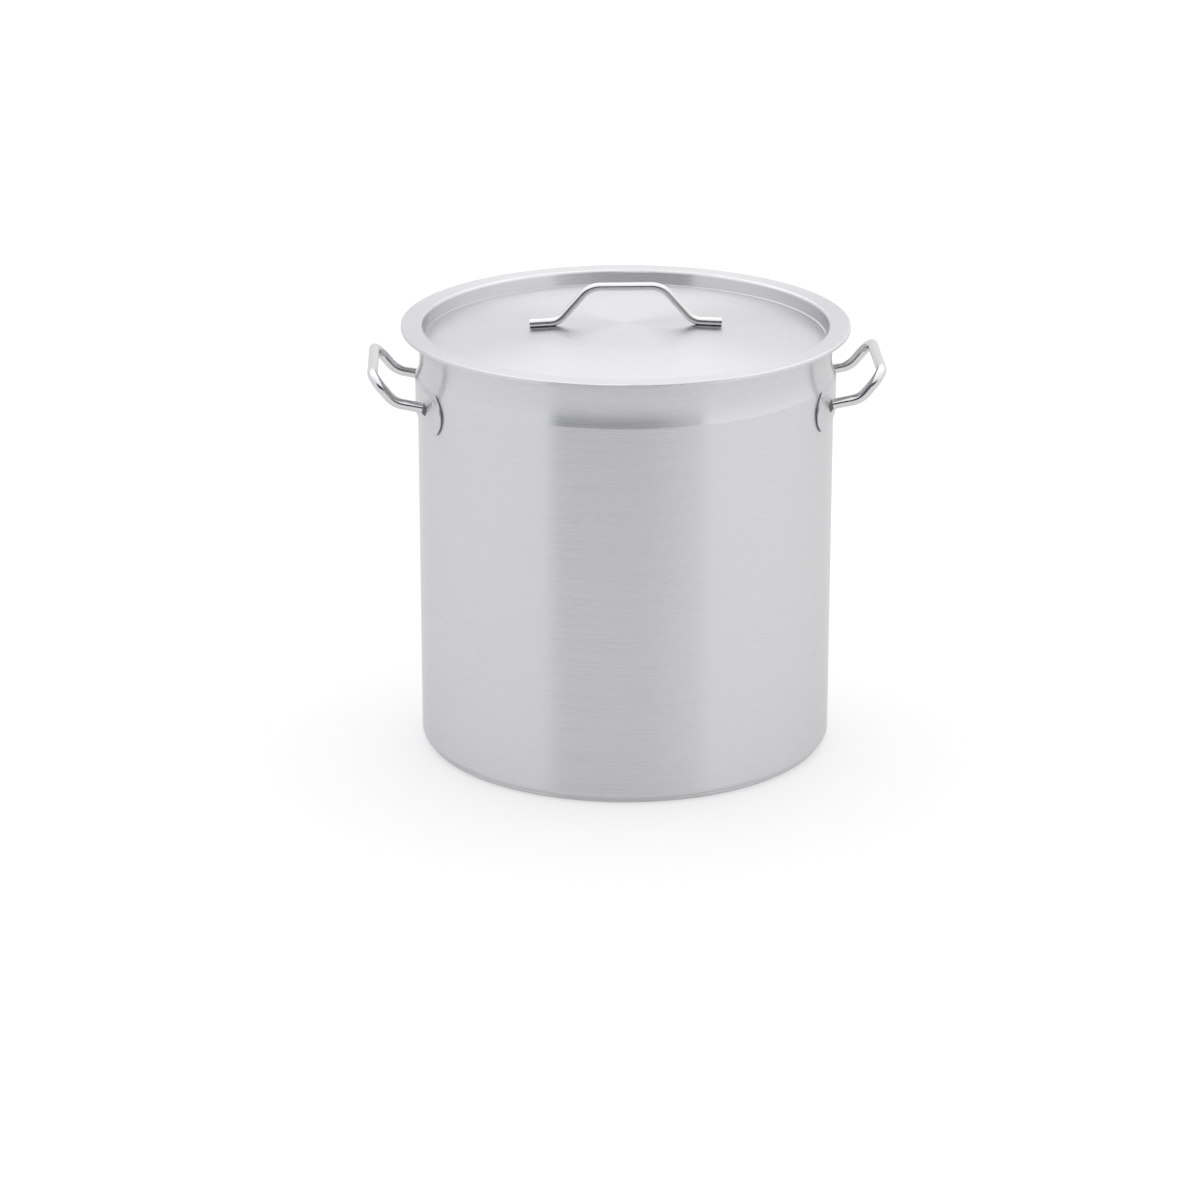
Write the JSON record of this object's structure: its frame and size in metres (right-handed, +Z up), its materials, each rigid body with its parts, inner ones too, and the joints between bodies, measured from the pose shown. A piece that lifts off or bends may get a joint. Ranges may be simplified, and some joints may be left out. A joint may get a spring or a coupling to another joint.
{
  "type": "stock pot",
  "caption": "Tall cylindrical stock pot with a creased neck under the rim, bent-rod side handles on curved plates, a sandwich base and a lift-off dished lid with a rod handle.",
  "frame": {"origin": "centre of the underside, on the surface that the pot stands on", "axes": "+Z up along the pot, +X towards the right-hand side handle, -Y towards the viewer"},
  "size_m": [0.494, 0.4306, 0.456],
  "materials": {
    "vessel_steel": "satin, brushed round the vessel",
    "plate_steel": "satin",
    "lid_steel": "satin, spun in circles",
    "rod_steel": "polished",
    "core_aluminium": "plain, fully enclosed"
  },
  "bodies": {
    "pot": {"pot_shell": "vessel_steel", "base_core": "core_aluminium", "base_cap": "vessel_steel", "handle_plate_right": "plate_steel", "handle_plate_left": "plate_steel", "side_handle_right": "rod_steel", "side_handle_left": "rod_steel", "handle_welds_right": "rod_steel", "handle_welds_left": "rod_steel"},
    "lid": {"lid_pan": "lid_steel", "lid_handle": "rod_steel"}
  },
  "joints": [
    {"name": "lid_lift", "type": "slide", "parent": "pot", "child": "lid", "axis": [0, 0, 1], "range_m": [0, 0.15]}
  ]
}
